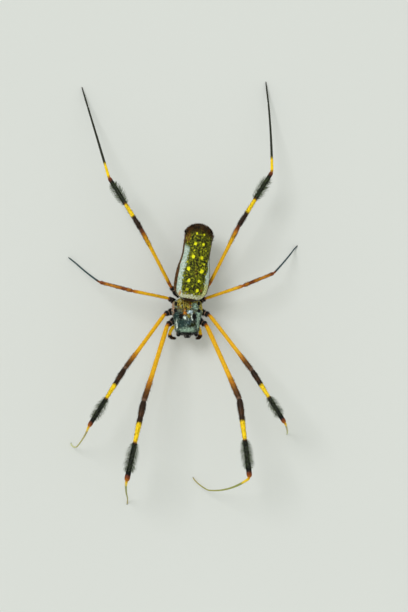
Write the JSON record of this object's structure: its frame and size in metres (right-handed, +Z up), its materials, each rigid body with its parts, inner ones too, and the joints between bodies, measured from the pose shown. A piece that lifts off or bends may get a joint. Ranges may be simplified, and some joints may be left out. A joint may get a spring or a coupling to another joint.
{
  "type": "golden silk orb weaver",
  "caption": "Life-size still model of a female golden silk orb weaver: long olive abdomen, silver head, banded legs with bristly brushes.",
  "frame": {"origin": "middle of the footprint of the whole spider, at the floor under its feet", "axes": "+Y from the head towards the rear of the abdomen, +Z up out of the back, +X to the right in a view from above with the head down"},
  "size_m": [0.0583, 0.1069, 0.023],
  "materials": {
    "carapace_shell": "grey-olive shell under a lie of short silver hairs, satin",
    "sternum_shell": "dark brown shell of the underside and the waist, satin",
    "abdomen_skin": "olive-green skin with yellow spots, silver flanks and a dark hairy rear end",
    "spinneret_brown": "dark brown, fine-haired",
    "jaw_black": "polished black shell",
    "palp_yellow": "yellow shell with a black, haired end",
    "mouth_brown": "brown shell, satin",
    "eye_black": "clear black lens",
    "leg_coxa": "near-black shell with pale joint rings",
    "leg_femur": "golden yellow shell, reddish at its far end",
    "leg_tibia": "dark brown, yellow band, then black bristles",
    "leg_metatarsus": "yellow base running to olive brown, fine-haired",
    "leg_tarsus": "thin brown end segment with small claws"
  },
  "bodies": {
    "root": {"carapace": "carapace_shell", "sternum": "sternum_shell", "pedicel": "sternum_shell", "abdomen": "abdomen_skin", "spinnerets": "spinneret_brown", "chelicera_left": "jaw_black", "palp_left": "palp_yellow", "chelicera_right": "jaw_black", "palp_right": "palp_yellow", "mouthparts": "mouth_brown", "eye_front_median_left": "eye_black", "eye_front_median_right": "eye_black", "eye_rear_median_left": "eye_black", "eye_rear_median_right": "eye_black", "eye_front_lateral_left": "eye_black", "eye_front_lateral_right": "eye_black", "eye_rear_lateral_left": "eye_black", "eye_rear_lateral_right": "eye_black", "leg_1_left_coxa": "leg_coxa", "leg_1_left_femur": "leg_femur", "leg_1_left_tibia": "leg_tibia", "leg_1_left_metatarsus": "leg_metatarsus", "leg_1_left_tarsus": "leg_tarsus", "leg_1_right_coxa": "leg_coxa", "leg_1_right_femur": "leg_femur", "leg_1_right_tibia": "leg_tibia", "leg_1_right_metatarsus": "leg_metatarsus", "leg_1_right_tarsus": "leg_tarsus", "leg_2_left_coxa": "leg_coxa", "leg_2_left_femur": "leg_femur", "leg_2_left_tibia": "leg_tibia", "leg_2_left_metatarsus": "leg_metatarsus", "leg_2_left_tarsus": "leg_tarsus", "leg_2_right_coxa": "leg_coxa", "leg_2_right_femur": "leg_femur", "leg_2_right_tibia": "leg_tibia", "leg_2_right_metatarsus": "leg_metatarsus", "leg_2_right_tarsus": "leg_tarsus", "leg_3_left_coxa": "leg_coxa", "leg_3_left_femur": "leg_femur", "leg_3_left_tibia": "leg_tibia", "leg_3_left_metatarsus": "leg_metatarsus", "leg_3_left_tarsus": "leg_tarsus", "leg_3_right_coxa": "leg_coxa", "leg_3_right_femur": "leg_femur", "leg_3_right_tibia": "leg_tibia", "leg_3_right_metatarsus": "leg_metatarsus", "leg_3_right_tarsus": "leg_tarsus", "leg_4_left_coxa": "leg_coxa", "leg_4_left_femur": "leg_femur", "leg_4_left_tibia": "leg_tibia", "leg_4_left_metatarsus": "leg_metatarsus", "leg_4_left_tarsus": "leg_tarsus", "leg_4_right_coxa": "leg_coxa", "leg_4_right_femur": "leg_femur", "leg_4_right_tibia": "leg_tibia", "leg_4_right_metatarsus": "leg_metatarsus", "leg_4_right_tarsus": "leg_tarsus"}
  },
  "joints": []
}
